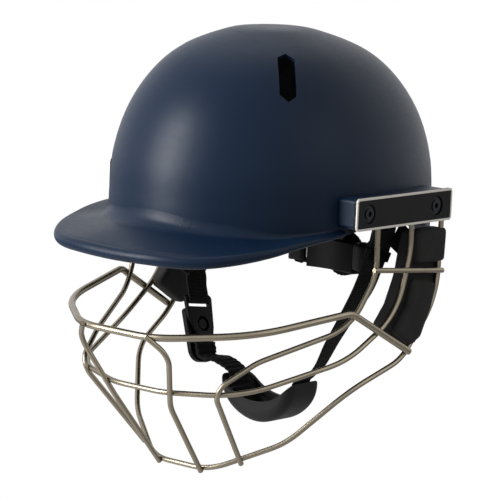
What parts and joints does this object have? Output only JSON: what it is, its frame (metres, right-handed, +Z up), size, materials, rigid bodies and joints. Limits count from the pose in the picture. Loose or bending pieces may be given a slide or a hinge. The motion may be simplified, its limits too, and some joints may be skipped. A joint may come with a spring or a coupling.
{
  "type": "cricket helmet",
  "caption": "Peaked cricket helmet with vents, a welded wire face guard, foam liner, a buckled chin strap with a cup and a rear dial adjuster.",
  "frame": {"origin": "centre of the head opening, level with the lower rim above the ears, where the head holds the helmet", "axes": "+Z up through the crown, -Y towards the face and the peak, +X towards the wearer's left"},
  "size_m": [0.2382, 0.296, 0.3097],
  "materials": {
    "adjuster_plastic": "moulded",
    "border_white": "satin",
    "buckle_plastic": "moulded",
    "cup_plastic": "moulded, satin",
    "dial_rubber": "knurled",
    "guard_wire": "satin",
    "liner_foam": "moulded foam",
    "nut_steel": "plated",
    "plate_black": "matte moulded",
    "screw_black": "black oxide",
    "shell_navy": "matte painted",
    "soft_foam": "fabric over foam",
    "webbing": "ribbed woven webbing"
  },
  "bodies": {
    "helmet": {"badge_border_left": "border_white", "badge_border_right": "border_white", "badge_left": "plate_black", "badge_nuts_left": "nut_steel", "badge_nuts_right": "nut_steel", "badge_right": "plate_black", "badge_screws_left": "screw_black", "badge_screws_right": "screw_black", "badge_washers_left": "screw_black", "badge_washers_right": "screw_black", "brow_pad": "soft_foam", "cheek_bar_left": "guard_wire", "cheek_bar_right": "guard_wire", "cheek_pad_left": "soft_foam", "cheek_pad_right": "soft_foam", "cradle_cover": "adjuster_plastic", "cradle_hanger": "adjuster_plastic", "cradle_housing": "adjuster_plastic", "liner": "liner_foam", "lower_bar": "guard_wire", "main_bar": "guard_wire", "middle_bar": "guard_wire", "nose_bar_left": "guard_wire", "nose_bar_right": "guard_wire", "pod_left": "shell_navy", "pod_right": "shell_navy", "rear_hook_left": "buckle_plastic", "rear_hook_right": "buckle_plastic", "shell": "shell_navy", "side_link_left": "guard_wire", "side_link_right": "guard_wire", "side_pad_left": "soft_foam", "side_pad_right": "soft_foam", "strap_rivet_left": "nut_steel", "strap_rivet_right": "nut_steel", "temple_guide_left": "adjuster_plastic", "temple_guide_right": "adjuster_plastic"},
    "chin_strap": {"anchor_tab_left": "buckle_plastic", "anchor_tab_right": "buckle_plastic", "buckle_body": "buckle_plastic", "buckle_plate": "buckle_plastic", "chin_cup": "cup_plastic", "cup_strap": "webbing", "rear_branch_left": "webbing", "rear_branch_right": "webbing", "strap_divider_left": "buckle_plastic", "strap_divider_right": "buckle_plastic", "strap_left": "webbing", "strap_right": "webbing", "strap_right_lower": "webbing"},
    "button": {"buckle_button": "buckle_plastic"},
    "dial": {"dial": "dial_rubber", "pinion": "adjuster_plastic"},
    "left_arm": {"rack_arm_left": "adjuster_plastic", "rear_pad_left": "soft_foam"},
    "right_arm": {"rack_arm_right": "adjuster_plastic", "rear_pad_right": "soft_foam"}
  },
  "joints": [
    {"name": "chin_strap_swing", "type": "hinge", "parent": "helmet", "child": "chin_strap", "pos_m": [0, 0.012, 0.012], "axis": [1, 0, 0], "range_deg": [-18, 12], "deforming": ["rear_branch_left", "rear_branch_right"]},
    {"name": "button_press", "type": "slide", "parent": "chin_strap", "child": "button", "axis": [-0.9224, 0, -0.3861], "range_m": [0, 0.001], "stiffness_N_per_m": 1500, "springref_m": -0.0005},
    {"name": "dial_turn", "type": "hinge", "parent": "helmet", "child": "dial", "pos_m": [0, 0.0774, -0.042], "axis": [0, 1, 0], "range_deg": [0, 150]},
    {"name": "rack_left", "type": "hinge", "parent": "helmet", "child": "left_arm", "pos_m": [0, -0.003, -0.03], "axis": [0, 0, 1], "range_deg": [-9.2, 0.2]},
    {"name": "rack_right", "type": "hinge", "parent": "helmet", "child": "right_arm", "pos_m": [0, -0.003, -0.03], "axis": [0, 0, 1], "range_deg": [-0.2, 9.2]}
  ],
  "couplings": [
    {"joint": "rack_left", "follows": "dial_turn", "ratio": -0.06},
    {"joint": "rack_right", "follows": "dial_turn", "ratio": 0.06}
  ]
}
